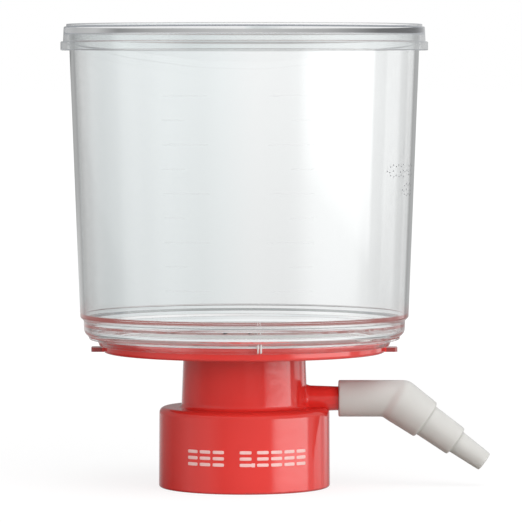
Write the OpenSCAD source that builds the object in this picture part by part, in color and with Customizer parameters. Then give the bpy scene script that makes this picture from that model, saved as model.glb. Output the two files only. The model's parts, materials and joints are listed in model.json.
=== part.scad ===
// Bottle-top vacuum filter: clear funnel and lid on a moulded base that screws onto a 45 mm bottle neck.
// Millimetres. +Z is up the funnel's axis, +X is along the side port, and z = 0 is the collar's rim.

/* [Collar] */
// Outer radius of the screw collar, at its rim
collar_r = 25.2; // [24.6:0.1:28]
// How much narrower the collar is at its shoulder
collar_draft = 0.15; // [0:0.05:0.4]
// Height of the collar, from its rim to its shoulder
collar_h = 23.6; // [22:0.1:30]
// Wall radius of the threaded mouth, at the thread's root
thread_r = 22.9; // [22.4:0.1:23.4]
// Depth of the threaded mouth
thread_depth = 14.5; // [10:0.1:15.5]
// Width of the chamfer that leads the bottle into the mouth
mouth_chamfer = 1.0; // [0.3:0.1:1.4]
// Thickness of the collar's shoulder over the gasket
shoulder_t = 2.4; // [1.6:0.1:3]
// Rounding of the collar's top corner
shoulder_round = 1.75; // [0.5:0.05:2]
// Rounding of the collar's lower edge
rim_round = 0.7; // [0.2:0.1:0.9]

/* [Neck gasket] */
// Thickness of the sealing washer
gasket_t = 2.0; // [1:0.1:3]
// Radius of the washer's hole
gasket_hole_r = 17.2; // [17:0.1:19]
// Width of the ledge between the threaded mouth and the washer's seat
gasket_ledge = 0.6; // [0.2:0.1:1]

/* [Neck and spout] */
// Height of the neck, from the collar's shoulder to the flange
neck_h = 16.1; // [12:0.1:30]
// Outer radius of the neck at the collar
neck_foot_r = 18.5; // [18:0.1:20]
// Outer radius of the neck under the flange
neck_top_r = 18.0; // [17:0.1:20]
// Wall of the neck
neck_wall = 1.8; // [1.4:0.1:2.4]
// Fillets at the two ends of the neck
neck_fillet = 1.1; // [0.4:0.1:1.6]
// Outer radius of the drip spout at its root
spout_root_r = 5.0; // [4.4:0.1:6]
// Outer radius of the drip spout at its tip
spout_tip_r = 3.6; // [3.2:0.1:4.2]
// Radius of the spout's bore
spout_bore_r = 1.95; // [1.2:0.05:2.4]
// Height of the spout's tip above the threaded mouth
spout_rise = 1.2; // [0.6:0.1:4]

/* [Flange] */
// Radius of the flange
flange_r = 41.5; // [38:0.1:43]
// Thickness of the flange
flange_t = 3.9; // [3.6:0.1:6]
// Rounding of the flange's lower edge
flange_round = 0.8; // [0.2:0.1:1.2]
// Width of the flat land round the drain
land_w = 4.0; // [3.2:0.1:6]
// Depth of the drain's floor at the land
drain_edge = 0.9; // [0.5:0.1:1.2]
// Depth of the drain's floor at the spout
drain_centre = 1.9; // [1.3:0.1:2.2]
// Distance of the first ring rib from the spout's bore
rib_start = 4.0; // [3:0.1:6]
// Number of ring ribs that hold the membrane up
rib_rings = 6; // [3:1:8]
// Width of a ring rib
rib_w = 1.2; // [0.8:0.1:1.6]
// Number of radial channels through the ring ribs
channels = 12; // [6:1:16]
// Width of a radial channel
channel_w = 2.4; // [1.4:0.1:3]
// How far each side tab stands out from the flange
tab_reach = 3.5; // [1:0.1:4]
// Width of a side tab
tab_w = 6.0; // [3:0.1:10]
// Thickness of a side tab
tab_t = 1.3; // [0.8:0.1:1.8]
// Height of the side tabs above the flange's underside
tab_lift = 0.2; // [0:0.1:1]

/* [Side port] */
// Height of the port's axis above the collar's shoulder
port_rise = 2.4; // [1:0.1:5]
// Outer radius of the port at the neck
port_root_r = 3.9; // [3.6:0.05:4.4]
// Outer radius of the port inside the hose adapter
port_r = 3.55; // [3.2:0.05:3.6]
// Distance of the port's end from the funnel's axis
port_end = 41.5; // [36:0.1:42]
// Radius of the port's bore
port_bore_r = 1.9; // [1.2:0.05:2]
// Fillet between the port and the neck
port_fillet = 1.6; // [0.6:0.1:2]
// Fillet between the port's flanks and the collar's shoulder
web_fillet = 1.2; // [0.6:0.1:1.6]
// Length of the cotton plug in the port's bore
cotton_l = 8.0; // [4:0.1:12]
// Distance of the cotton plug from the port's end
cotton_inset = 1.5; // [0.5:0.1:4]

/* [Funnel] */
// Outer radius of the funnel at its rim
funnel_rim_r = 51.45; // [50:0.05:56]
// Outer radius of the funnel just above the step near its floor
funnel_step_r = 48.3; // [48:0.1:50]
// Height of the funnel from the membrane to its rim
funnel_h = 89.4; // [40:0.1:140]
// Wall of the funnel
funnel_wall = 1.35; // [1:0.05:1.8]
// Height of the step above the membrane
step_rise = 6.4; // [5.6:0.1:9]
// How far the wall steps in
step_in = 1.0; // [0.5:0.1:1.2]
// Thickness of the funnel's floor
floor_t = 1.3; // [1:0.1:1.6]
// Height of the floor's underside above the membrane
floor_rise = 0.6; // [0.3:0.1:0.8]
// Rounding of the funnel's lower corner
floor_round = 2.4; // [2:0.1:2.6]
// Width of the floor's inner edge that clamps the membrane to the flange
clamp_w = 3.0; // [2:0.1:3.1]
// Wall of the ring that grips the flange
grip_wall = 1.6; // [1.1:0.1:1.9]
// Depth of the ring that grips the flange, below the membrane
grip_depth = 1.8; // [1.4:0.1:2.6]
// Width of the bevel on the grip ring's lower edge
grip_bevel_w = 0.5; // [0.2:0.1:0.8]
// Height of the bevel on the grip ring's lower edge
grip_bevel_h = 1.2; // [0.4:0.1:1.2]
// Wall of the thin lip under the funnel's corner
lip_wall = 0.9; // [0.6:0.1:1.1]
// Distance of the lip from the funnel's corner
lip_inset = 1.4; // [0.8:0.1:1.6]
// Depth of the lip below the floor
lip_depth = 1.4; // [0.6:0.1:1.8]

/* [Lid] */
// Wall of the lid
lid_wall = 1.0; // [0.8:0.05:1.1]
// Thickness of the lid's plate
lid_plate_t = 2.0; // [1:0.1:2.4]
// Height of the raised stacking rim over the plate
stack_h = 0.9; // [0.6:0.1:2.5]
// Width of the raised stacking rim
stack_w = 1.3; // [0.8:0.1:2]
// Distance of the raised stacking rim from the lid's edge
stack_inset = 0.75; // [0.5:0.05:1.5]
// Height of the lid's edge over the plate
lid_edge_h = 0.15; // [0.1:0.05:0.5]
// Rounding of the lid's edge
lid_round = 0.4; // [0.1:0.05:0.5]
// Depth of the skirt below the plate's underside
skirt_h = 4.8; // [4:0.1:9]
// Height of the stepped-out lip round the skirt's lower edge
lid_lip_h = 2.6; // [1.5:0.1:3]
// How far the lip steps out from the skirt
lid_lip_out = 0.75; // [0.4:0.05:1]
// Radius of the round moulding gate in the middle of the plate
gate_r = 5.0; // [2:0.1:12]
// Depth of the moulding gate
gate_depth = 0.4; // [0.2:0.1:0.6]

/* [Hose adapter] */
// Distance of the sleeve's mouth from the funnel's axis
sleeve_start = 27.7; // [26.5:0.1:30]
// Distance of the elbow from the funnel's axis
elbow_x = 44.5; // [44.4:0.1:52]
// Outer radius of the sleeve
sleeve_r = 5.4; // [5:0.1:6]
// Rounding of the sleeve's mouth
sleeve_round = 0.9; // [0.3:0.1:1.1]
// Angle of the stepped branch below the port's axis
elbow_angle = 35.5; // [20:0.5:45]
// Outer radius of the wide hose stage at its upper end
wide_stage_r = 6.65; // [6.4:0.05:7.4]
// Outer radius of the middle hose stage at its upper end
middle_stage_r = 5.0; // [4.8:0.05:5.2]
// Outer radius of the narrow hose stage at its upper end
narrow_stage_r = 3.55; // [3.4:0.05:3.8]
// How much narrower the wide stage is at its lower end
wide_stage_taper = 0.65; // [0.2:0.05:0.7]
// How much narrower the middle stage is at its lower end
middle_stage_taper = 0.4; // [0.2:0.05:0.5]
// How much narrower the narrow stage is at its lower end
narrow_stage_taper = 0.6; // [0.2:0.05:0.7]
// Length of the wide stage, from the elbow
wide_stage_l = 11.0; // [9:0.1:14]
// Length of the middle stage
middle_stage_l = 10.9; // [6:0.1:14]
// Length of the narrow stage
narrow_stage_l = 10.4; // [6:0.1:14]
// Rounding of each stage's lower edge
stage_round = 0.55; // [0.2:0.05:0.6]
// Fillet at the root of the middle and narrow stages
stage_fillet = 0.4; // [0.1:0.05:0.5]
// Radius of the adapter's bore past the port
adapter_bore_r = 1.9; // [1.2:0.05:2]
// How much wider than the bores the round well at the elbow is
elbow_well = 0.15; // [0.1:0.05:0.6]

/* [Fits] */
// Radial clearance between the adapter's socket and the port
port_clearance = 0.05; // [0.02:0.01:0.1]
// Clearance past the port's end, in the adapter's socket
socket_end_clearance = 0.4; // [0.2:0.1:0.8]
// Radial clearance of a part pressed into the base
press_clearance = 0.05; // [0.02:0.01:0.1]
// Radial clearance between the lid's skirt and the funnel's rim
lid_clearance = 0.5; // [0.3:0.05:1]
// Thickness of the membrane
membrane_t = 0.2; // [0.1:0.05:0.4]

/* [Hidden] */
$fn = 96;

// Cuts and joins run this far past the faces that they meet
over = 0.4;
// Draft of the short moulded walls, as a change of radius
draft = 0.2;
// Depth at which the tabs start inside the flange's edge, and the port inside the neck's front
tab_root = 2.0;
port_root = 0.8;
// How far the inside of the funnel's step lies above its outside, as a share of the wall
step_shift = 0.4;
// Side of the block that cuts the adapter's mitre, and how far the sleeve reaches into the branch
mitre_block = 50;
mitre_overlap = 0.05;

// Heights, from the collar's rim upwards
ceiling_z = collar_h - shoulder_t;
spout_tip_z = thread_depth + spout_rise;
port_z = collar_h + port_rise;
flange_z = collar_h + neck_h;
seat_z = flange_z + flange_t;
clamp_z = seat_z + membrane_t;
floor_under_z = clamp_z + floor_rise;
corner_top_z = floor_under_z + floor_t;
step_z = clamp_z + step_rise;
rim_z = clamp_z + funnel_h;
lid_top_z = rim_z + lid_plate_t;

// Radii of the base
collar_top_r = collar_r - collar_draft;
gasket_seat_r = thread_r - gasket_ledge;
neck_cavity_foot_r = neck_foot_r - neck_wall;
neck_cavity_top_r = neck_top_r - neck_wall;
drain_r = flange_r - land_w;

// Radii under the funnel's floor, from the flange outwards
grip_in_r = flange_r + press_clearance;
grip_r = grip_in_r + grip_wall;
floor_hole_r = flange_r - clamp_w;
membrane_r = floor_hole_r + clamp_w / 2;
foot_r = funnel_step_r - step_in - draft;
lip_r = foot_r - lip_inset;

// Outer radius of the lid's skirt at its top
lid_r = funnel_rim_r + lid_clearance + lid_wall;

// Hose adapter, measured along its branch
stage_r = [wide_stage_r, middle_stage_r, narrow_stage_r];
stage_taper = [wide_stage_taper, middle_stage_taper, narrow_stage_taper];
stage_l = [wide_stage_l, middle_stage_l, narrow_stage_l];
stage_start = [0, wide_stage_l, wide_stage_l + middle_stage_l];
branch_l = wide_stage_l + middle_stage_l + narrow_stage_l;
socket_r = port_r + port_clearance;
socket_end = port_end + socket_end_clearance;

// The area between a square corner and an arc of radius r. dir gives the quadrant that it lies in, seen
// from the corner. Taken away it rounds an outer corner there, and added it fillets an inner one.
module spandrel(corner, r, dir) {
    translate(corner)
    difference() {
        translate([dir[0] > 0 ? -over : -r, dir[1] > 0 ? -over : -r]) square(r + over);
        translate([dir[0] * r, dir[1] * r]) circle(r);
    }
}

module ring(outer_r, inner_r, z0, z1) {
    translate([0, 0, z0]) difference() {
        cylinder(h = z1 - z0, r = outer_r);
        translate([0, 0, -over]) cylinder(h = z1 - z0 + 2 * over, r = inner_r);
    }
}

module along_port(x) {
    translate([x, 0, port_z]) rotate([0, 90, 0]) children();
}

// Base: collar, neck and flange turned as one outline, before anything is hollowed out
module base_outline() {
    draft_end = neck_fillet + over;
    difference() {
        union() {
            polygon([[0, 0], [collar_r, 0], [collar_top_r, collar_h], [0, collar_h]]);
            polygon([
                [0, collar_h - over],
                [neck_foot_r, collar_h - over],
                [neck_foot_r, collar_h + draft_end],
                [neck_top_r, flange_z - draft_end],
                [neck_top_r, flange_z + over],
                [0, flange_z + over],
            ]);
            translate([0, flange_z]) square([flange_r, flange_t]);
            spandrel([neck_foot_r, collar_h], neck_fillet, [1, 1]);
            spandrel([neck_top_r, flange_z], neck_fillet, [1, -1]);
        }
        spandrel([collar_top_r, collar_h], shoulder_round, [-1, -1]);
        spandrel([collar_r, 0], rim_round, [-1, 1]);
        spandrel([flange_r, flange_z], flange_round, [-1, 1]);
    }
}

// The two tabs on the flange's sides, with rounded outer corners
module base_tabs() {
    tab_round = tab_w / 6;
    for (side = [0, 180]) rotate([0, 0, side])
        translate([0, 0, flange_z + tab_lift]) linear_extrude(tab_t)
            difference() {
                translate([flange_r - tab_root, -tab_w / 2]) square([tab_reach + tab_root, tab_w]);
                spandrel([flange_r + tab_reach, -tab_w / 2], tab_round, [-1, 1]);
                spandrel([flange_r + tab_reach, tab_w / 2], tab_round, [-1, -1]);
            }
}

// The side port, flared where it leaves the neck and filleted down onto the collar's shoulder
module base_port() {
    root_x = neck_foot_r - port_root;
    along_port(root_x) cylinder(h = port_end - root_x, r = port_r);
    along_port(root_x) cylinder(h = sleeve_start - over - root_x, r1 = port_root_r, r2 = port_r);
    along_port(root_x) rotate_extrude()
        union() {
            translate([0, -over]) square([port_root_r, port_fillet + over]);
            spandrel([port_root_r, 0], port_fillet, [1, 1]);
        }
    port_web();
}

// The fillets between the port's flanks and the shoulder: an arc that touches both the flat and the round
module port_web() {
    reach = port_root_r + web_fillet;
    drop = port_rise - web_fillet;
    side = sqrt(reach * reach - drop * drop);
    touch = port_root_r / reach;
    intersection() {
        along_port(neck_foot_r - port_root) linear_extrude(collar_r - neck_foot_r)
            for (flank = [-1, 1]) difference() {
                polygon([
                    [port_rise + over, 0],
                    [port_rise + over, flank * side],
                    [port_rise, flank * side],
                    [drop * touch, flank * side * touch],
                    [0, 0],
                ]);
                translate([drop, flank * side]) circle(web_fillet);
            }
        cylinder(h = flange_z, r = collar_top_r - shoulder_round / 2);
    }
}

// The hollow of the collar and the neck, open at the bottom
module base_hollow() {
    translate([0, 0, -over]) cylinder(h = thread_depth + over, r = thread_r);
    translate([0, 0, -over])
        cylinder(h = mouth_chamfer + over, r1 = thread_r + mouth_chamfer + over, r2 = thread_r);
    translate([0, 0, thread_depth - over]) cylinder(h = ceiling_z - thread_depth + over, r = gasket_seat_r);
    translate([0, 0, ceiling_z - over]) cylinder(h = over * 2, r = neck_cavity_foot_r);
    translate([0, 0, ceiling_z])
        cylinder(h = flange_z - ceiling_z, r1 = neck_cavity_foot_r, r2 = neck_cavity_top_r);
}

// The drip spout, which carries the filtrate down past the gasket
module spout() {
    translate([0, 0, spout_tip_z])
        cylinder(h = flange_z - spout_tip_z + over, r1 = spout_tip_r, r2 = spout_root_r);
}

// The shallow cone that drains the filtrate to the spout
module drain_cone() {
    translate([0, 0, seat_z - drain_centre])
        cylinder(h = drain_centre - drain_edge, r1 = spout_bore_r, r2 = drain_r);
    translate([0, 0, seat_z - drain_edge]) cylinder(h = drain_edge + over, r = drain_r);
}

// Ring ribs that hold the membrane up, cut through by radial channels
module support_ribs() {
    first_r = spout_bore_r + rib_start;
    pitch = (drain_r - first_r) / rib_rings;
    difference() {
        for (i = [0:rib_rings - 1])
            ring(first_r + i * pitch + rib_w, first_r + i * pitch, seat_z - drain_centre - over, seat_z);
        for (i = [0:channels - 1]) rotate([0, 0, (i + 0.5) * 360 / channels])
            translate([0, -channel_w / 2, seat_z - drain_centre - 2 * over])
                cube([drain_r, channel_w, drain_centre + 3 * over]);
    }
}

module base() color("#d23a3a") {
    difference() {
        union() {
            difference() {
                union() {
                    rotate_extrude() base_outline();
                    base_port();
                    base_tabs();
                }
                base_hollow();
                drain_cone();
            }
            spout();
            support_ribs();
        }
        translate([0, 0, spout_tip_z - over]) cylinder(h = seat_z, r = spout_bore_r);
        along_port(neck_cavity_top_r - 2) cylinder(h = port_end, r = port_bore_r);
    }
}

module neck_gasket() color("#e9e6df")
    ring(gasket_seat_r - press_clearance, gasket_hole_r, ceiling_z - gasket_t, ceiling_z);

module cotton_plug() color("#f7f5ee")
    along_port(port_end - cotton_inset - cotton_l)
        cylinder(h = cotton_l, r = port_bore_r - press_clearance);

module membrane() color("#fbfbf8")
    translate([0, 0, seat_z]) cylinder(h = membrane_t, r = membrane_r);

// Funnel: the wall, its step and its floor as one outline, with the two rings that hang under the floor
module funnel_outline() {
    inner_foot_r = foot_r - funnel_wall;
    inner_round = floor_round - floor_t;
    inner_step_z = step_z + step_shift * funnel_wall;
    difference() {
        union() {
            difference() {
                polygon([
                    [floor_hole_r, clamp_z],
                    [grip_r, clamp_z],
                    [grip_r, floor_under_z],
                    [foot_r, floor_under_z],
                    [foot_r, floor_under_z + floor_round],
                    [foot_r + draft, step_z - step_in],
                    [funnel_step_r, step_z],
                    [funnel_rim_r, rim_z],
                    [floor_hole_r, rim_z],
                ]);
                spandrel([foot_r, floor_under_z], floor_round, [-1, 1]);
            }
            polygon([
                [grip_in_r, seat_z - grip_depth],
                [grip_r - grip_bevel_w, seat_z - grip_depth],
                [grip_r, seat_z - grip_depth + grip_bevel_h],
                [grip_r, floor_under_z + over],
                [grip_in_r, floor_under_z + over],
            ]);
            translate([lip_r - lip_wall, floor_under_z - lip_depth])
                square([lip_wall, lip_depth + floor_t / 2]);
        }
        difference() {
            polygon([
                [floor_hole_r - over, clamp_z + floor_t],
                [floor_hole_r, clamp_z + floor_t],
                [inner_foot_r - inner_round, corner_top_z],
                [inner_foot_r, corner_top_z],
                [inner_foot_r, corner_top_z + inner_round],
                [inner_foot_r + draft, inner_step_z - step_in],
                [funnel_step_r - funnel_wall, inner_step_z],
                [funnel_rim_r - funnel_wall, rim_z + over],
                [floor_hole_r - over, rim_z + over],
            ]);
            spandrel([inner_foot_r, corner_top_z], inner_round, [-1, 1]);
        }
        spandrel([funnel_rim_r - funnel_wall, rim_z], funnel_wall / 4, [1, -1]);
    }
}

module funnel() color([0.86, 0.89, 0.89, 0.45]) rotate_extrude() funnel_outline();

// Lid: a plate with a raised stacking rim, and a skirt whose lower lip steps out at an even wall
module lid_outline() {
    skirt_z = rim_z - skirt_h;
    lip_z = skirt_z + lid_lip_h;
    skirt_out = lid_r + draft;
    lip_out = skirt_out + lid_lip_out;
    edge_z = lid_top_z + lid_edge_h;
    stack_r = lid_r - stack_inset;
    difference() {
        union() {
            polygon([
                [0, rim_z],
                [lid_r - lid_wall, rim_z],
                [skirt_out - lid_wall, lip_z - lid_wall],
                [lip_out - lid_wall, lip_z - lid_wall - lid_lip_out],
                [lip_out - lid_wall, skirt_z],
                [lip_out, skirt_z],
                [lip_out, lip_z],
                [skirt_out, lip_z],
                [lid_r, edge_z],
                [stack_r, edge_z],
                [stack_r, lid_top_z],
                [0, lid_top_z],
            ]);
            translate([stack_r - stack_w, lid_top_z - over]) square([stack_w, stack_h + over]);
        }
        spandrel([lip_out, skirt_z], lid_wall / 2, [-1, 1]);
        spandrel([lip_out, lip_z], lid_lip_out / 2, [-1, -1]);
        spandrel([lid_r, edge_z], lid_round, [-1, -1]);
        translate([0, lid_top_z - gate_depth]) square([gate_r, gate_depth + over]);
    }
}

module lid() color([0.82, 0.85, 0.87, 0.45]) rotate_extrude() lid_outline();

// Hose adapter: the three stages of the branch as one outline, along the branch's own axis
module branch_outline() {
    function stage_points(i) = [
        [stage_r[i], stage_start[i]],
        [stage_r[i] - stage_taper[i], stage_start[i] + stage_l[i] - stage_round],
        [stage_r[i] - stage_taper[i], stage_start[i] + stage_l[i]],
    ];
    difference() {
        union() {
            polygon([[0, 0], each [for (i = [0:2]) each stage_points(i)], [0, branch_l]]);
            for (i = [1:2]) spandrel([stage_r[i], stage_start[i]], stage_fillet, [1, 1]);
        }
        for (i = [0:2])
            spandrel([stage_r[i] - stage_taper[i], stage_start[i] + stage_l[i]], stage_round, [-1, -1]);
    }
}

module hose_adapter() color("#dcdcd6") {
    tilt = 90 + elbow_angle;
    difference() {
        union() {
            difference() {
                along_port(sleeve_start) rotate_extrude() difference() {
                    square([sleeve_r, elbow_x - sleeve_start + sleeve_r]);
                    spandrel([sleeve_r, 0], sleeve_round, [-1, 1]);
                }
                // the mitre: the sleeve ends on the branch's first face, which it just enters
                translate([elbow_x, 0, port_z]) rotate([0, tilt, 0])
                    translate([-mitre_block / 2, -mitre_block / 2, mitre_overlap]) cube(mitre_block);
            }
            translate([elbow_x, 0, port_z]) rotate([0, tilt, 0]) rotate_extrude() branch_outline();
        }
        along_port(sleeve_start - over) cylinder(h = socket_end - sleeve_start + over, r = socket_r);
        along_port(socket_end - over) cylinder(h = elbow_x - socket_end + over, r = adapter_bore_r);
        // the two bores meet in a small round well at the elbow
        translate([elbow_x, 0, port_z]) sphere(r = adapter_bore_r + elbow_well);
        translate([elbow_x, 0, port_z]) rotate([0, tilt, 0])
            cylinder(h = branch_l + over, r = adapter_bore_r);
    }
}

base();
funnel();
membrane();
neck_gasket();
cotton_plug();
hose_adapter();
lid();
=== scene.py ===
# A bottle-top vacuum filter: a clear funnel with a lift-off lid, on a glossy red base that screws onto a
# bottle, with a swivelling hose adapter pushed over the base's side port. Metres, +Z up, the port along +X.
import json
import math

import bmesh
import bpy
import numpy as np
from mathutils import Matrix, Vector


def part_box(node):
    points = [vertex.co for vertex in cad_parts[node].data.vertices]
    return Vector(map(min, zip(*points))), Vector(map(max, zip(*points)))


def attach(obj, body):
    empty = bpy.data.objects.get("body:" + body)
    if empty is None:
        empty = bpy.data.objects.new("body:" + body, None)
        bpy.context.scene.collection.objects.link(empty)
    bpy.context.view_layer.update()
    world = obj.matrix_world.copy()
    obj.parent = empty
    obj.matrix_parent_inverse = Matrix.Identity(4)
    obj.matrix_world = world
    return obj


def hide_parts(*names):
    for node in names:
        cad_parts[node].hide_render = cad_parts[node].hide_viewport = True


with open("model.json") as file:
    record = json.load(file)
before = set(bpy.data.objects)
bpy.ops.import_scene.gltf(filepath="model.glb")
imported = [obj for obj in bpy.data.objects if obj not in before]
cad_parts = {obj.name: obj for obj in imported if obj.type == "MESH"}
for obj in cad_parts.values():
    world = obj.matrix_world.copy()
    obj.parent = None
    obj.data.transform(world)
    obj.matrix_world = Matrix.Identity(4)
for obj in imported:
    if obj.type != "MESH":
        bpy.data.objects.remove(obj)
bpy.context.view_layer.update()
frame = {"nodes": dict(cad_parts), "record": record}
record = frame["record"]
MM = 0.001


# ---------------------------------------------------------------------------------------------------------
# Camera: a long lens a little over a metre away, just below the lid's height, so that the lid is seen
# nearly edge-on and the collar from slightly above.
camera_data = bpy.data.cameras.new("camera")
camera_data.lens = 283
camera_data.sensor_width = 36
camera_data.clip_end = 50
camera = bpy.data.objects.new("camera", camera_data)
bpy.context.scene.collection.objects.link(camera)
bpy.context.scene.camera = camera
bpy.context.scene.view_settings.view_transform = "Standard"
eye = np.array([4.9, -1206, 123]) * MM
target = np.array([4.9, 0, 66.5]) * MM
camera.location = eye
camera.rotation_euler = (
    math.pi / 2 + math.atan2(target[2] - eye[2], target[1] - eye[1]),
    0,
    0,
)


# ---------------------------------------------------------------------------------------------------------
# Studio: a white room with a tall soft panel on the right of the camera, a weaker one on its left and dark
# gaps between them, which draw the plastic's highlights and rims. Lamps light the matt surfaces softly.
def looking_angles(tree):
    """Azimuth and elevation, in degrees, of the direction that the world is seen in. The azimuth is the arc
    tangent of X over -Y, so it is 0 towards the camera's side and 90 towards +X; the elevation is the arc
    sine of Z."""
    direction = tree.nodes.new("ShaderNodeTexCoord").outputs["Generated"]
    split = tree.nodes.new("ShaderNodeSeparateXYZ")
    tree.links.new(direction, split.inputs[0])
    forward = arithmetic(tree, "MULTIPLY", split.outputs["Y"], -1)
    azimuth = arithmetic(tree, "ARCTAN2", split.outputs["X"], forward)
    elevation = arithmetic(tree, "ARCSINE", split.outputs["Z"])
    return arithmetic(tree, "DEGREES", azimuth), arithmetic(tree, "DEGREES", elevation)


def arithmetic(tree, operation, *operands):
    """One Math node on numbers or other nodes' outputs."""
    node = tree.nodes.new("ShaderNodeMath")
    node.operation = operation
    for socket, operand in zip(node.inputs, operands):
        if isinstance(operand, (int, float)):
            socket.default_value = operand
        else:
            tree.links.new(operand, socket)
    return node.outputs[0]


def light_round(tree, angle, lowest, highest, stops, brightest=1.0):
    """Light on a ramp over an angle in degrees. Each stop is an angle and its grey or colour, and brightest
    scales a ramp whose light is stronger than white."""
    share = tree.nodes.new("ShaderNodeMapRange")
    share.inputs["From Min"].default_value = lowest
    share.inputs["From Max"].default_value = highest
    tree.links.new(angle, share.inputs["Value"])
    ramp = tree.nodes.new("ShaderNodeValToRGB")
    elements = ramp.color_ramp.elements
    while len(elements) < len(stops):
        elements.new(0.5)
    for element, (at, light) in zip(elements, stops):
        red, green, blue = light if isinstance(light, tuple) else (light,) * 3
        element.position = (at - lowest) / (highest - lowest)
        element.color = (red / brightest, green / brightest, blue / brightest, 1)
    tree.links.new(share.outputs[0], ramp.inputs[0])
    scaled = tree.nodes.new("ShaderNodeVectorMath")
    scaled.operation = "SCALE"
    scaled.inputs["Scale"].default_value = brightest
    tree.links.new(ramp.outputs[0], scaled.inputs[0])
    return scaled.outputs[0]


def blended(tree, share, first, second, blend="MIX"):
    """Two colours mixed by a share, which is a number or a node's output."""
    mix = tree.nodes.new("ShaderNodeMix")
    mix.data_type = "RGBA"
    mix.blend_type = blend
    colours = [socket for socket in mix.inputs if socket.type == "RGBA"]
    for socket, value in zip((mix.inputs["Factor"], *colours), (share, first, second)):
        if isinstance(value, (int, float, tuple)):
            socket.default_value = value
        else:
            tree.links.new(value, socket)
    return next(socket for socket in mix.outputs if socket.type == "RGBA")


def rise(tree, value, start, end):
    """0 below start and 1 above end, with a smooth step between."""
    step = tree.nodes.new("ShaderNodeMapRange")
    step.interpolation_type = "SMOOTHSTEP"
    step.inputs["From Min"].default_value = start
    step.inputs["From Max"].default_value = end
    tree.links.new(value, step.inputs["Value"])
    return step.outputs[0]


world = bpy.data.worlds.new("studio")
bpy.context.scene.world = world
world.use_nodes = True
tree = world.node_tree
tree.nodes.clear()
azimuth, elevation = looking_angles(tree)

# The low light all round, as gloss sees it: dark gaps on the far left and behind, brighter on the right.
table = light_round(
    tree,
    azimuth,
    -180,
    180,
    [
        (-180, 0.55),
        (-160, 0.4),
        (-142, 0.12),
        (-112, 0.02),
        (-98, 0.15),
        (-80, 0.6),
        (-62, 0.63),
        (-50, 0.64),
        (-28, 0.35),
        (0, 0.48),
        (30, 0.5),
        (42, 0.75),
        (60, 1.0),
        (84, 1.0),
        (99, 0.8),
        (116, 0.5),
        (135, 0.55),
        (146, 0.25),
        (160, 0.4),
        (180, 0.55),
    ],
)

# The soft panels themselves. Only the outsides mirror them, and only upright walls, which look a few degrees
# down from the camera's height.
panel = light_round(
    tree,
    azimuth,
    -180,
    180,
    [
        (-138, 0.27),
        (-98, 0.27),
        (-84, 0.1),
        (-70, 0),
        (36, 0),
        (40, 1.1),
        (44, 2.1),
        (53, 2.7),
        (94, 2.75),
        (97, 0),
        (107, 0),
        (110, 1.0),
        (124, 1.0),
        (129, 0.2),
        (136, 0.2),
        (140, 0.9),
        (148, 0.9),
        (154, 0),
    ],
    brightest=2.8,
)
above = light_round(
    tree, elevation, -9, 0, [(-8.2, 0), (-6.8, 0.05), (-5.8, 0.12), (-5.1, 0.75), (-4.4, 1.0)]
)
below = arithmetic(tree, "SUBTRACT", 1, rise(tree, elevation, -0.6, -0.1))
path = tree.nodes.new("ShaderNodeLightPath")
outside = arithmetic(tree, "LESS_THAN", path.outputs["Transmission Depth"], 0.5)
in_panel = arithmetic(tree, "MULTIPLY", arithmetic(tree, "MULTIPLY", above, below), outside)

# Walls that lean back a little, such as the neck's, see less of the low light.
leaning = arithmetic(tree, "MULTIPLY", rise(tree, elevation, -3.4, -2.0), outside)
dimmed = light_round(
    tree,
    azimuth,
    -180,
    180,
    [(-180, 0.1), (-120, 0.15), (-50, 0.22), (40, 0.18), (90, 0.4), (180, 0.4)],
)
table = blended(tree, leaning, table, dimmed)
mirrored = blended(tree, in_panel, table, panel, blend="ADD")

# Light that turns inside clear walls: a strip on the left, and a reddish grey far below, from the red base.
strip = light_round(tree, azimuth, -180, 180, [(-96, 0), (-89, 0.55), (-52, 0.5), (-38, 0)])
inside = arithmetic(tree, "SUBTRACT", 1, outside)
mirrored = blended(tree, inside, mirrored, strip, blend="ADD")
near_base = arithmetic(tree, "SUBTRACT", 1, rise(tree, elevation, -26, -12))
mirrored = blended(tree, arithmetic(tree, "MULTIPLY", near_base, inside), mirrored, (0.4, 0.26, 0.25, 1))

# The room's upper half and its ceiling.
mirrored = blended(tree, rise(tree, elevation, -0.2, 0.4), mirrored, (0.22, 0.22, 0.22, 1), blend="ADD")
mirrored = blended(tree, rise(tree, elevation, 30, 50), mirrored, (1.1, 1.1, 1.1, 1))

# The backdrop behind clear walls: a cool grey on its left, and darker bands high and low, which the steps of
# the foot and the lid bend into view as thin dark lines.
sweep = light_round(
    tree,
    azimuth,
    -180,
    -170,
    [
        (-180, 1.0),
        (-179.3, (0.945, 0.97, 0.973)),
        (-178.6, (0.88, 0.911, 0.915)),
        (-178.2, (0.825, 0.857, 0.862)),
        (-177.4, (0.772, 0.802, 0.808)),
        (-175, (0.805, 0.835, 0.841)),
        (-170, 1.0),
    ],
)
shading = light_round(
    tree,
    elevation,
    -40,
    40,
    [
        (-40, 0.97),
        (-30, 0.97),
        (-27.5, (0.17, 0.14, 0.14)),
        (-18, (0.17, 0.14, 0.14)),
        (-12, 0.9),
        (-5, 0.84),
        (-3.5, 0.85),
        (-1.7, 0.93),
        (0, 1.0),
        (8, 1.0),
        (12, 0.25),
        (40, 0.25),
    ],
)
seen_through = blended(tree, 1.0, sweep, shading, blend="MULTIPLY")

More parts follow.
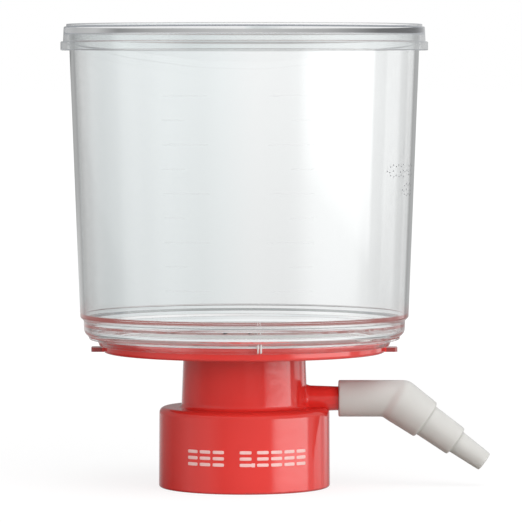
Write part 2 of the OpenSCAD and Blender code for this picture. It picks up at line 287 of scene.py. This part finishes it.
# Gloss sees the mirrored room, clear walls the backdrop, the camera plain white, and matt surfaces a grey.
unmirrored = arithmetic(tree, "LESS_THAN", path.outputs["Glossy Depth"], 0.5)
straight = arithmetic(tree, "MULTIPLY", path.outputs["Is Transmission Ray"], unmirrored)
ambient = (0.54, 0.54, 0.54, 1)
room = blended(tree, path.outputs["Is Glossy Ray"], ambient, mirrored)
room = blended(tree, path.outputs["Is Transmission Ray"], room, mirrored)
room = blended(tree, straight, room, seen_through)
room = blended(tree, path.outputs["Is Camera Ray"], room, (1, 1, 1, 1))
background = tree.nodes.new("ShaderNodeBackground")
tree.links.new(room, background.inputs["Color"])
world_out = tree.nodes.new("ShaderNodeOutputWorld")
tree.links.new(background.outputs[0], world_out.inputs["Surface"])


def soft_lamp(name, azimuth, elevation, distance, size, brightness):
    """A square area lamp aimed at the filter. brightness is what it adds to a white surface that faces it, so
    its power is brightness times pi squared times the distance squared."""
    data = bpy.data.lights.new(name, "AREA")
    data.size = size
    data.energy = brightness * math.pi**2 * distance**2
    lamp = bpy.data.objects.new(name, data)
    bpy.context.scene.collection.objects.link(lamp)
    a, e = math.radians(azimuth), math.radians(elevation)
    towards = np.array([math.sin(a) * math.cos(e), -math.cos(a) * math.cos(e), math.sin(e)])
    lamp.location = np.array([0, 0, 60 * MM]) + towards * distance
    lamp.rotation_euler = (math.pi / 2 - e, 0, a)
    lamp.visible_glossy = False
    lamp.visible_transmission = False


soft_lamp("right_key", azimuth=42, elevation=12, distance=0.9, size=0.6, brightness=0.4)
soft_lamp("front_fill", azimuth=16, elevation=2, distance=1.1, size=0.5, brightness=0.42)
soft_lamp("left_fill", azimuth=-60, elevation=14, distance=0.9, size=0.6, brightness=0.12)
soft_lamp("top_light", azimuth=30, elevation=62, distance=0.9, size=0.7, brightness=0.5)

# Floor: a pale matt sweep that keeps the filter's shadow near it and glows white further out.
half = 20.0
glow_near = 0.78
floor_mesh = bpy.data.meshes.new("floor")
floor_mesh.from_pydata(
    [(-half, -half, 0), (half, -half, 0), (half, half, 0), (-half, half, 0)], [], [(0, 1, 2, 3)]
)
floor = bpy.data.objects.new("floor", floor_mesh)
bpy.context.scene.collection.objects.link(floor)
floor.visible_glossy = False
floor.visible_transmission = False
floor_paint = bpy.data.materials.new("floor_paint")
floor_paint.use_nodes = True
tree = floor_paint.node_tree
tree.nodes.clear()
seen = tree.nodes.new("ShaderNodeLightPath").outputs["Is Camera Ray"]
matt = tree.nodes.new("ShaderNodeBsdfDiffuse")
paint = blended(tree, seen, (0.42, 0.4, 0.36, 1), (0.9, 0.9, 0.9, 1))
tree.links.new(paint, matt.inputs["Color"])
glow = tree.nodes.new("ShaderNodeEmission")
glow.inputs["Color"].default_value = (1, 1, 1, 1)
glow.inputs["Strength"].default_value = 1.06
place = tree.nodes.new("ShaderNodeTexCoord").outputs["Object"]
distance = tree.nodes.new("ShaderNodeVectorMath")
distance.operation = "LENGTH"
tree.links.new(place, distance.inputs[0])
far = rise(tree, distance.outputs["Value"], 0.1, 0.6)
whiteness = arithmetic(tree, "MULTIPLY_ADD", far, 1 - glow_near, glow_near)
share = arithmetic(tree, "MULTIPLY", whiteness, seen)
blend = tree.nodes.new("ShaderNodeMixShader")
tree.links.new(share, blend.inputs[0])
tree.links.new(matt.outputs[0], blend.inputs[1])
tree.links.new(glow.outputs[0], blend.inputs[2])
floor_out = tree.nodes.new("ShaderNodeOutputMaterial")
tree.links.new(blend.outputs[0], floor_out.inputs["Surface"])
floor_mesh.materials.append(floor_paint)


# ---------------------------------------------------------------------------------------------------------
# Base: one moulding in glossy red plastic, with the screw collar, the neck, the flange under the funnel and
# the side port. Its colour drifts a little with the melt's flow, and the tool left a very fine unevenness.
def plastic(name, colour, **settings):
    """A Principled material, with its node tree and its shader. settings are the shader's own sockets, with
    spaces written as underscores."""
    material = bpy.data.materials.new(name)
    material.use_nodes = True
    shader = material.node_tree.nodes["Principled BSDF"]
    shader.inputs["Base Color"].default_value = (*colour, 1)
    for socket, value in settings.items():
        shader.inputs[socket.replace("_", " ")].default_value = value
    return material, material.node_tree, shader


def object_noise(tree, scale, detail):
    """Noise over the piece's own place, at so many cells a metre."""
    place = tree.nodes.new("ShaderNodeTexCoord").outputs["Object"]
    noise = tree.nodes.new("ShaderNodeTexNoise")
    noise.inputs["Scale"].default_value = scale
    noise.inputs["Detail"].default_value = detail
    tree.links.new(place, noise.inputs["Vector"])
    return noise.outputs["Fac"]


def drifting_colour(tree, shader, factor, low, high):
    """Base colour that drifts between two close shades."""
    tree.links.new(blended(tree, factor, (*low, 1), (*high, 1)), shader.inputs["Base Color"])


def varying_roughness(tree, shader, factor, low, high):
    """Roughness that drifts between two values."""
    span = tree.nodes.new("ShaderNodeMapRange")
    span.inputs["To Min"].default_value = low
    span.inputs["To Max"].default_value = high
    tree.links.new(factor, span.inputs["Value"])
    tree.links.new(span.outputs[0], shader.inputs["Roughness"])


def relief(tree, shader, factor, height, strength=1.0):
    """Fine bump of a height in metres."""
    bump = tree.nodes.new("ShaderNodeBump")
    bump.inputs["Distance"].default_value = height
    bump.inputs["Strength"].default_value = strength
    tree.links.new(factor, bump.inputs["Height"])
    tree.links.new(bump.outputs[0], shader.inputs["Normal"])


def dress(node, material):
    """Puts a material on a CAD node."""
    for slot in frame["nodes"][node].material_slots:
        slot.material = material


red, tree, shader = plastic("red_plastic", (0.7, 0.034, 0.027), IOR=1.62)
drifting_colour(tree, shader, object_noise(tree, 60, 3), (0.67, 0.03, 0.024), (0.73, 0.038, 0.03))

# The thin side tabs stand out past the flange's edge. Past it the red is painted darker: painted shade, for
# the shadow that the tabs lie in.
tabs_start = 41.7 * MM
flat = tree.nodes.new("ShaderNodeVectorMath")
flat.operation = "MULTIPLY"
flat.inputs[1].default_value = (1, 1, 0)
tree.links.new(tree.nodes.new("ShaderNodeTexCoord").outputs["Object"], flat.inputs[0])
from_axis = tree.nodes.new("ShaderNodeVectorMath")
from_axis.operation = "LENGTH"
tree.links.new(flat.outputs[0], from_axis.inputs[0])
painted_shade_on_tabs = rise(tree, from_axis.outputs["Value"], tabs_start, tabs_start + 0.3 * MM)
body_tone = shader.inputs["Base Color"].links[0].from_socket
painted_tab_shade = (0.3, 0.045, 0.042, 1)
tree.links.new(blended(tree, painted_shade_on_tabs, body_tone, painted_tab_shade), shader.inputs["Base Color"])
varying_roughness(tree, shader, object_noise(tree, 140, 2), 0.07, 0.12)
relief(tree, shader, object_noise(tree, 500, 2), 0.00001)
dress("base", red)


# ---------------------------------------------------------------------------------------------------------
# Bottle thread: a ridge of bell-shaped section that climbs the mouth's wall as a right-hand helix, moulded
# with the base. It fades out at both ends, as a moulded thread does where its tool parts.
def grid_mesh(name, points, wrap_rows, cap_ends):
    """A mesh over a grid of points whose last column joins its first. wrap_rows joins the last row to the
    first one, and cap_ends closes the first and the last row with one flat face each."""
    rows, columns = points.shape[:2]
    index = np.arange(rows * columns).reshape(rows, columns)
    lower = index if wrap_rows else index[:-1]
    upper = np.roll(index, -1, axis=0) if wrap_rows else index[1:]
    quads = np.stack([lower, np.roll(lower, -1, 1), np.roll(upper, -1, 1), upper], axis=-1)
    faces = quads.reshape(-1, 4).tolist()
    if cap_ends:
        faces += [index[0, ::-1].tolist(), index[-1].tolist()]
    mesh = bpy.data.meshes.new(name)
    mesh.from_pydata(points.reshape(-1, 3).tolist(), [], faces)
    shape = bmesh.new()
    shape.from_mesh(mesh)
    bmesh.ops.recalc_face_normals(shape, faces=shape.faces)
    shape.to_mesh(mesh)
    shape.free()
    mesh.shade_smooth()
    return mesh


def add_piece(name, mesh, material, body):
    """Links a mesh as a piece of the object that rides on a body."""
    piece = bpy.data.objects.new(name, mesh)
    bpy.context.scene.collection.objects.link(piece)
    mesh.materials.append(material)
    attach(piece, body)
    return piece


def smooth_step(values, start, end):
    """0 up to start and 1 from end on: t squared times 3 minus 2t between them."""
    t = np.clip((values - start) / (end - start), 0, 1)
    return t * t * (3 - 2 * t)


mounts = {mount["name"]: mount for mount in record["mounts"]}
thread_root = mounts["bottle_thread"]["dims"]["r_mm"]
thread_height = 1.45
thread_pitch = 4.0
thread_turns = 1.75
thread_start = 3.4
thread_half_w = 1.3
run_out = 0.35
foot_sunk = 0.02
back_sunk = 0.15
turn = np.linspace(0, thread_turns * 2 * np.pi, 260)[:, None]
fade = smooth_step(turn, 0, run_out) * smooth_step(turn[-1] - turn, 0, run_out)
across = np.linspace(-1, 1, 17)[None, :]
bell = 1 - smooth_step(np.abs(across), 0.4, 1.0)
ridge_r = thread_root + foot_sunk - thread_height * bell * fade
ridge_z = thread_start + thread_pitch * turn / (2 * np.pi) + thread_half_w * across * (0.3 + 0.7 * fade)
back_r = np.full((len(turn), 2), thread_root + back_sunk)
back_z = np.stack([ridge_z[:, -1], ridge_z[:, 0]], axis=1)
loop_r = np.concatenate([ridge_r, back_r], axis=1)
loop_z = np.concatenate([ridge_z, back_z], axis=1)
helix = np.stack([loop_r * np.cos(turn), loop_r * np.sin(turn), loop_z], axis=-1) * MM
add_piece("bottle_thread", grid_mesh("bottle_thread", helix, False, True), red, "filter_body")


# ---------------------------------------------------------------------------------------------------------
# Print on the collar: two groups of pale pad-printed marks. Each mark is a stack of level strokes, and one
# is a dot; they stand a hair proud of the red, as thick ink does.
ink, tree, shader = plastic("print_ink", (0.84, 0.55, 0.53), Roughness=0.45)
drifting_colour(tree, shader, object_noise(tree, 900, 3), (0.82, 0.46, 0.44), (0.86, 0.62, 0.6))
relief(tree, shader, object_noise(tree, 2500, 2), 0.00001)


def wrapped_pads(name, pads, radius_at, thickness, corner=5.0):
    """Small pads laid on a surface of revolution, each closed and slightly pillowed. A pad is the
    superellipse |x/a|^corner + |z/b|^corner = 1 of half sizes a and b, turned about its middle to the angle
    x / radius, and its rows run from the middle of its face over its edge to the middle of its back.
    pads rows: angle in degrees, height, half width and half height."""
    pads = np.asarray(pads, dtype=float)
    angle, height, half_w, half_h = (pads[:, k, None, None] for k in range(4))
    spin = np.linspace(0, 2 * np.pi, 40, endpoint=False)[None, None, :]
    reach = np.array([0.25, 0.8, 0.97, 1.0, 0.97, 0.25])[None, :, None]
    lift = np.array([1.0, 1.0, 0.75, 0.2, -0.8, -0.8])[None, :, None] * thickness
    x = reach * half_w * np.sign(np.cos(spin)) * np.abs(np.cos(spin)) ** (2 / corner)
    z = height + reach * half_h * np.sign(np.sin(spin)) * np.abs(np.sin(spin)) ** (2 / corner)
    radius = radius_at(z)
    turned = np.radians(angle) + x / radius
    out = radius + lift
    points = np.stack([out * np.sin(turned), -out * np.cos(turned), z], axis=-1) * MM
    meshes = [grid_mesh(name, pad, False, True) for pad in points]
    joined = bmesh.new()
    for mesh in meshes:
        joined.from_mesh(mesh)
        bpy.data.meshes.remove(mesh)
    bmesh.ops.recalc_face_normals(joined, faces=joined.faces)
    whole = bpy.data.meshes.new(name)
    joined.to_mesh(whole)
    joined.free()
    whole.shade_smooth()
    return whole


collar_r = 25.2
collar_draft = 0.15
collar_h = 23.6
print_z = 10.4
print_h = 4.6
print_w = 3.45
print_gap = 0.75
stroke = 0.95
ink_thickness = 0.03
dot_angle = 6.0
mark_runs = ((-40.3, 3), (-2.9, 1), (8.6, 4))
pads = []
for start, cells in mark_runs:
    for cell in range(cells):
        middle = start + math.degrees((print_w * (cell + 0.5) + print_gap * cell) / collar_r)
        for level in (-1, 0, 1):
            pads.append((middle, print_z + level * (print_h - stroke) / 2, print_w / 2, stroke / 2))
pads.append((dot_angle, print_z - (print_h - stroke) / 2, stroke * 0.6, stroke * 0.6))
marks = wrapped_pads(
    "collar_print", pads, lambda z: collar_r - collar_draft * z / collar_h, ink_thickness, corner=6.0
)
add_piece("collar_print", marks, ink, "filter_body")


# ---------------------------------------------------------------------------------------------------------
# Neck gasket: a soft off-white silicone washer. It is punched from sheet and pressed up against the collar's
# ceiling, where the bottle's rim seals on it.
silicone, tree, shader = plastic("gasket_silicone", (0.8, 0.8, 0.76), Roughness=0.5)
drifting_colour(tree, shader, object_noise(tree, 300, 2), (0.76, 0.76, 0.72), (0.83, 0.83, 0.79))
relief(tree, shader, object_noise(tree, 1500, 2), 0.00002)
dress("neck_gasket", silicone)


# ---------------------------------------------------------------------------------------------------------
# Cotton plug: a loose white wad pushed into the port's bore, which keeps dust out of the filtrate. It is a
# soft-ended roll, uneven along and round.
cotton, tree, shader = plastic("cotton", (0.9, 0.89, 0.86), Roughness=0.95)
drifting_colour(tree, shader, object_noise(tree, 1500, 4), (0.8, 0.79, 0.75), (0.93, 0.92, 0.9))
relief(tree, shader, object_noise(tree, 2500, 4), 0.0002)
(plug_start, _, _), (plug_end, _, _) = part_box("cotton_plug")
plug_r = 1.85 * MM
plug_z = 26.0 * MM
way = np.linspace(0, 1, 90)[:, None]
spin = np.linspace(0, 2 * np.pi, 72, endpoint=False)[None, :]
domed = np.maximum(1 - np.abs(2 * way - 1) ** 6, 0) ** 0.5
broad_lumps = 0.05 * np.sin(5 * spin + 9 * way)
small_lumps = 0.04 * np.sin(11 * spin - 31 * way) + 0.03 * np.sin(23 * way + 2 * spin)
wad_r = plug_r * domed * (0.9 + broad_lumps + small_lumps)
wad_x = plug_start + (plug_end - plug_start) * way + np.zeros_like(spin)
wad = np.stack([wad_x, wad_r * np.sin(spin), plug_z + wad_r * np.cos(spin)], axis=-1)
roll = grid_mesh("wadding", wad[1:-1], False, True)
wadding = add_piece("wadding", roll, cotton, "filter_body")
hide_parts("cotton_plug")


# ---------------------------------------------------------------------------------------------------------
# Membrane: a thin matt white filter disc, cast and die-cut, which lies on the base's ribs and is clamped at
# its edge under the funnel's floor.
white_film, tree, shader = plastic("membrane_white", (0.9, 0.9, 0.88), Roughness=0.85)
drifting_colour(tree, shader, object_noise(tree, 800, 3), (0.86, 0.86, 0.84), (0.92, 0.92, 0.9))
relief(tree, shader, object_noise(tree, 3000, 2), 0.00002)
dress("membrane", white_film)


# ---------------------------------------------------------------------------------------------------------
# Funnel: a thin-walled, slightly tapered cup, injection moulded in clear polystyrene. Its foot steps in to a
# ring that grips the base's flange, and its floor ring holds the membrane down.
def clear_plastic(name, tint, low_glow, high_glow, low_z, high_z):
    """Clear moulding. Lamps shine through it, slightly dimmed. Light that has turned inside its walls more
    than twice, or met more than eight surfaces, ends in painted light: a glow that stands in for what such
    light would carry, and drifts between two colours over the heights from low_z to high_z, in metres."""
    material, tree, shader = plastic(name, tint, Roughness=0.0, Transmission_Weight=1.0, IOR=1.57)
    let_through = tree.nodes.new("ShaderNodeBsdfTransparent")
    let_through.inputs["Color"].default_value = (0.99, 0.99, 0.99, 1)
    path = tree.nodes.new("ShaderNodeLightPath")
    turns = arithmetic(tree, "GREATER_THAN", path.outputs["Glossy Depth"], 2.5)
    walls = arithmetic(tree, "GREATER_THAN", path.outputs["Ray Depth"], 8.5)
    spent = arithmetic(tree, "MAXIMUM", turns, walls)
    height = tree.nodes.new("ShaderNodeSeparateXYZ")
    tree.links.new(tree.nodes.new("ShaderNodeTexCoord").outputs["Object"], height.inputs[0])
    glow = tree.nodes.new("ShaderNodeEmission")
    tree.links.new(
        blended(tree, rise(tree, height.outputs["Z"], low_z, high_z), (*low_glow, 1), (*high_glow, 1)),
        glow.inputs["Color"],
    )
    guided = tree.nodes.new("ShaderNodeMixShader")
    tree.links.new(spent, guided.inputs[0])
    tree.links.new(shader.outputs[0], guided.inputs[1])
    tree.links.new(glow.outputs[0], guided.inputs[2])
    blend = tree.nodes.new("ShaderNodeMixShader")
    out = tree.nodes["Material Output"]
    tree.links.new(path.outputs["Is Shadow Ray"], blend.inputs[0])
    tree.links.new(guided.outputs[0], blend.inputs[1])
    tree.links.new(let_through.outputs[0], blend.inputs[2])
    tree.links.new(blend.outputs[0], out.inputs["Surface"])
    return material, tree, shader


def rounded_outline(corners, closed):
    """The outline through corners of radius, height and rounding, as radius and height in millimetres. An arc
    that touches both sides takes each corner's place, and a point just past each end of the arc keeps the
    shading flat along the straight."""
    corners = np.asarray(corners, dtype=float)
    places, roundings = corners[:, :2], corners[:, 2]
    before, after = np.roll(places, 1, axis=0) - places, np.roll(places, -1, axis=0) - places
    points = []
    for k, (corner, rounding) in enumerate(zip(places, roundings)):
        if not closed and k in (0, len(places) - 1):
            points.append(corner[None, :])
            continue
        to_last = before[k] / np.hypot(*before[k])
        to_next = after[k] / np.hypot(*after[k])
        half = 0.5 * math.acos(np.clip(to_last @ to_next, -1, 1))
        reach = rounding / math.tan(half)
        centre = corner + (to_last + to_next) / np.hypot(*(to_last + to_next)) * rounding / math.sin(half)
        first = corner + to_last * reach - centre
        sweep = math.pi - 2 * half
        turn = sweep * np.sign(to_last[0] * to_next[1] - to_last[1] * to_next[0])
        angles = -turn * np.linspace(0, 1, max(4, math.ceil(math.degrees(sweep) / 7)))
        arc = centre + np.stack(
            [
                first[0] * np.cos(angles) - first[1] * np.sin(angles),
                first[0] * np.sin(angles) + first[1] * np.cos(angles),
            ],
            axis=-1,
        )
        points += [arc[:1] + to_last * 0.05, arc, arc[-1:] + to_next * 0.05]
    return np.concatenate(points)


def turned(outline, columns):
    """A surface of revolution: each point of the outline goes round the axis, at its radius and height."""
    angle = np.linspace(0, 2 * np.pi, columns, endpoint=False)[None, :]
    radius, height = outline[:, :1], outline[:, 1:]
    return np.stack(
        [radius * np.cos(angle), radius * np.sin(angle), height + np.zeros_like(angle)], axis=-1
    )


# The funnel's spent light is a painted glow: reddish grey low on the foot, for light from the red base below,
# and grey higher up.
clear, tree, shader = clear_plastic(
    "clear_funnel",
    (0.985, 0.995, 0.995),
    low_glow=(0.36, 0.13, 0.12),
    high_glow=(0.4, 0.42, 0.42),
    low_z=50 * MM,
    high_z=56 * MM,
)
relief(tree, shader, object_noise(tree, 30, 1), 0.0004, 0.15)

# The section: down the outside to the step, round the foot and its lip, round the ring that grips the flange,
# under and over the floor ring, and up the stepped inside.
funnel_corners = [
    (51.45, 133.2, 0.3),
    (48.3, 50.2, 0.7),
    (47.3, 49.2, 0.5),
    (47.1, 44.4, 2.4),
    (45.7, 44.4, 0.1),
    (45.7, 43.7, 0.2),
    (44.8, 43.7, 0.2),
    (44.8, 44.4, 0.1),
    (43.15, 44.4, 0.1),
    (43.15, 43.0, 0.4),
    (42.65, 41.8, 0.2),
    (41.55, 41.8, 0.15),
    (41.55, 43.83, 0.1),
    (38.5, 43.83, 0.1),
    (38.5, 45.1, 0.3),
    (44.4, 45.65, 0.3),
    (45.0, 46.0, 0.2),
    (45.05, 47.6, 0.15),
    (45.72, 48.3, 0.15),
    (45.75, 50.0, 0.3),
    (46.97, 51.25, 0.3),
    (50.1, 133.2, 0.3),
]
wall = turned(rounded_outline(funnel_corners, True), columns=320) * MM
cup = grid_mesh("funnel_shell", wall, True, False)
funnel_shell = add_piece("funnel_shell", cup, clear, "filter_body")
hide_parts("funnel")


# ---------------------------------------------------------------------------------------------------------
# Gate stub and graduations: the mould's gate leaves a small stub under the funnel's lip. It is drawn as two
# pale strokes whose frosted white is a painted highlight on the stub's sides, and the tool raises faint lines
# on the wall. There is a short arc on each side of the front for every 50 ml, longer at the hundreds.
# Painted highlight: the pale, half-clear strokes stand in for the light that catches the stub's sides.
painted_nib_highlight, tree, shader = plastic("frosted_plastic", (0.78, 0.76, 0.75), Roughness=0.35, Alpha=0.65)
drifting_colour(tree, shader, object_noise(tree, 700, 2), (0.74, 0.71, 0.7), (0.84, 0.82, 0.81))
strokes = [(5.1, 43.7, 0.2, 1.45), (6.2, 43.7, 0.28, 1.45)]
lip_r = 45.2
stub_thickness = 0.8
nib = wrapped_pads("gate_nib", strokes, lambda z: lip_r, stub_thickness)
add_piece("gate_nib", nib, painted_nib_highlight, "filter_body")

faint, tree, shader = plastic("raised_lines", (0.6, 0.62, 0.63), Roughness=0.3, Alpha=0.05)
drifting_colour(tree, shader, object_noise(tree, 300, 2), (0.55, 0.57, 0.58), (0.65, 0.67, 0.68))


def wall_r(z):
    """The funnel's outside radius at a height: a straight draft from the foot's step to the rim."""
    (top_r, top_z, _), (low_r, low_z, _) = funnel_corners[:2]
    return low_r + (z - low_z) * (top_r - low_r) / (top_z - low_z)


first_mark = 60.0
hundred = 13.85
short_half_w, long_half_w = 3.6, 7.0
line_half_h = 0.22
line_relief = 0.03
outer_ends = ((-1, -27.4), (1, 23.7))
lines = []
for mark in range(9):
    z = first_mark + hundred * mark / 2
    half_w = short_half_w if mark % 2 else long_half_w
    for side, outer_end in outer_ends:
        lines.append((outer_end - side * math.degrees(half_w / wall_r(z)), z, half_w, line_half_h))
graduations = wrapped_pads("graduations", lines, wall_r, line_relief)
add_piece("graduations", graduations, faint, "filter_body")


# ---------------------------------------------------------------------------------------------------------
# Batch mark: two rows of fine black dots on the funnel's right, as a coding jet sprays them. They are blank
# groups of a cell each, and spell nothing.
black_ink, tree, shader = plastic("dot_ink", (0.1, 0.1, 0.12), Roughness=0.5)
drifting_colour(tree, shader, object_noise(tree, 1500, 2), (0.08, 0.08, 0.09), (0.14, 0.14, 0.16))
cell_pitch = 3.4
cell_dots = ((-0.9, 1.7), (0.9, 1.2), (-0.9, 0), (0.5, -0.4), (-0.5, -1.7), (0.9, -1.3))
dot_rows = ((93.6, 56.5, 6), (88.0, 68.0, 3))
dot_half_w, dot_half_h = 0.24, 0.2
dot_thickness = 0.02
dots = []
for row_z, first_angle, cells in dot_rows:
    for cell in range(cells):
        for k, (across, up) in enumerate(cell_dots):
            angle = first_angle + math.degrees((cell_pitch * cell + across) / wall_r(row_z))
            if (cell + k) % 4:
                dots.append((angle, row_z + up, dot_half_w, dot_half_h))
batch_mark = wrapped_pads("batch_mark", dots, wall_r, dot_thickness, corner=2.0)
add_piece("batch_mark", batch_mark, black_ink, "filter_body")


# ---------------------------------------------------------------------------------------------------------
# Lid: a clear polystyrene plate, injection moulded through the small dimple in its middle. It has a raised
# stacking rim, and its stepped skirt drops loosely over the funnel's rim.
clear_top, tree, shader = clear_plastic(
    "clear_lid",
    (0.975, 0.985, 0.985),
    low_glow=(0.42, 0.44, 0.46),
    high_glow=(0.3, 0.32, 0.36),
    low_z=130 * MM,
    high_z=134 * MM,
)
relief(tree, shader, object_noise(tree, 30, 1), 0.0004, 0.15)

# The section: out under the plate, down inside the skirt, round its lip, up the outside, over the stacking
# rim and back to the dimple.
lid_corners = [
    (0.3, 133.2, 0),
    (52.0, 133.2, 0.3),
    (52.2, 128.4, 0.2),
    (53.9, 128.4, 0.3),
    (53.9, 131.0, 0.35),
    (53.15, 131.0, 0.15),
    (52.95, 135.35, 0.4),
    (52.2, 135.35, 0.1),
    (52.2, 136.1, 0.2),
    (50.9, 136.1, 0.2),
    (50.9, 135.2, 0.2),
    (5.0, 135.2, 0.1),
    (5.0, 134.8, 0.1),
    (0.3, 134.8, 0),
]
cover = turned(rounded_outline(lid_corners, False), columns=400) * MM
plate = grid_mesh("lid_shell", cover, False, True)
lid_shell = add_piece("lid_shell", plate, clear_top, "lid_body")
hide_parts("lid")


# ---------------------------------------------------------------------------------------------------------
# Hose adapter: a translucent white elbow in soft polypropylene, moulded in one. Its sleeve is pushed over the
# port and turns on it, and its branch has three tapered stages for vacuum tubing.
milky, tree, shader = plastic("adapter_plastic", (0.54, 0.537, 0.52), Roughness=0.35, IOR=1.5)
shader.inputs["Subsurface Weight"].default_value = 0.5
shader.inputs["Subsurface Radius"].default_value = (1, 1, 1)
shader.inputs["Subsurface Scale"].default_value = 0.002
varying_roughness(tree, shader, object_noise(tree, 200, 2), 0.3, 0.42)
relief(tree, shader, object_noise(tree, 900, 2), 0.00002)


def softened(points, spread):
    """Moves each point of a closed grid to the mean of its column's neighbours, weighted by a bell curve of
    the given spread in rows, so that the profile's corners turn into fillets."""
    reach = math.floor(4 * spread) + 1
    steps = np.arange(-reach, reach + 1)
    weights = np.exp(-0.5 * (steps / spread) ** 2)
    weights /= weights.sum()
    return sum(weight * np.roll(points, step, axis=0) for step, weight in zip(steps, weights))


def adapter_surface(elbow, tilt, keys, fan, spacing, columns):
    """The adapter's skin as one closed profile carried along its bent axis. A station p lies p before the
    elbow along the port's axis where it is negative, and p past it along the branch where it is positive.
    Before the elbow the section's plane leans over, from upright at fan before it to the branch's own tilt,
    and the ring is where that plane cuts the sleeve: its height is the radius over the cosine of the lean.
    The corners are softened, more so on the outside near the elbow.
    keys rows: station, radius across, radius upwards before it is divided by that cosine."""
    station, across, upward = np.asarray(keys, dtype=float).T
    run = np.hypot(np.diff(station, append=station[0]), np.diff(across, append=across[0]))
    along = np.concatenate([[0], np.cumsum(run)])
    at = np.arange(0, along[-1], spacing)
    station, across, upward = (
        np.interp(at, along, np.append(values, values[0])) for values in (station, across, upward)
    )
    lean = np.arctan(math.tan(tilt) * np.clip(1 + station / fan, 0, 1))
    upward = np.where(station < 0, upward / np.cos(lean), upward)
    past = np.maximum(station, 0)
    middle_x = elbow[0] + np.minimum(station, 0) + past * math.cos(tilt)
    middle_z = elbow[1] - past * math.sin(tilt)
    spin = np.linspace(0, 2 * np.pi, columns, endpoint=False)[None, :]
    rise_x, rise_z = np.sin(lean)[:, None], np.cos(lean)[:, None]
    up = upward[:, None] * np.cos(spin)
    points = np.stack(
        [
            middle_x[:, None] + up * rise_x,
            across[:, None] * np.sin(spin),
            middle_z[:, None] + up * rise_z,
        ],
        axis=-1,
    )
    crease_reach, outside_from = 2.4, 4
    crease = np.exp(-((station / crease_reach) ** 2)) * (across > outside_from)
    fine, broad = softened(points, 0.3 / spacing), softened(points, 0.8 / spacing)
    return fine + crease[:, None, None] * (broad - fine)


branch = mounts["hose_branch"]
swivel = next(joint for joint in record["behaviour"]["joints"] if joint["name"] == "adapter_swivel")
port_z = swivel["pos_m"][2] / MM
tip_x, tip_z = branch["pos_m"][0] / MM, branch["pos_m"][2] / MM
tilt = math.atan2(-branch["axis"][2], branch["axis"][0])
branch_l = (port_z - tip_z) / math.sin(tilt)
elbow = (tip_x - branch_l * math.cos(tilt), port_z)
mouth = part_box("hose_adapter")[0][0] / MM - elbow[0]
sleeve_r, socket_r, bore_r = 5.4, 3.6, 1.9
socket_floor = 41.9
socket_end = socket_floor - elbow[0]
first_step, second_step = 11.0, 21.9
wide_r = 6.65
stages = (
    (0, first_step, wide_r, 6.0),
    (first_step, second_step, 5.0, 4.6),
    (second_step, branch_l, 3.55, 2.95),
)
swell_start, swell_end = -1.6, 0.9
keys = [(mouth, socket_r, socket_r), (mouth, sleeve_r, sleeve_r), (swell_start - 0.4, sleeve_r, sleeve_r)]
swell = np.linspace(swell_start, swell_end, 9)
swell_r = sleeve_r + (wide_r - sleeve_r) * smooth_step(swell, swell[0], swell[-1])
keys += [(p, r, sleeve_r if p < 0 else wide_r) for p, r in zip(swell, swell_r)]
for start, end, r_start, r_end in stages:
    if start:
        keys.append((start, r_start, r_start))
    keys.append((end, r_end, r_end))
keys += [(branch_l, bore_r, bore_r), (0, bore_r, bore_r), (socket_end, bore_r, bore_r)]
keys += [(socket_end, socket_r, socket_r)]
skin = adapter_surface(elbow, tilt, keys, fan=9.0, spacing=0.25, columns=96) * MM
moulding = grid_mesh("adapter_moulding", skin, True, False)
adapter = add_piece("adapter_moulding", moulding, milky, "adapter_body")
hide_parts("hose_adapter")
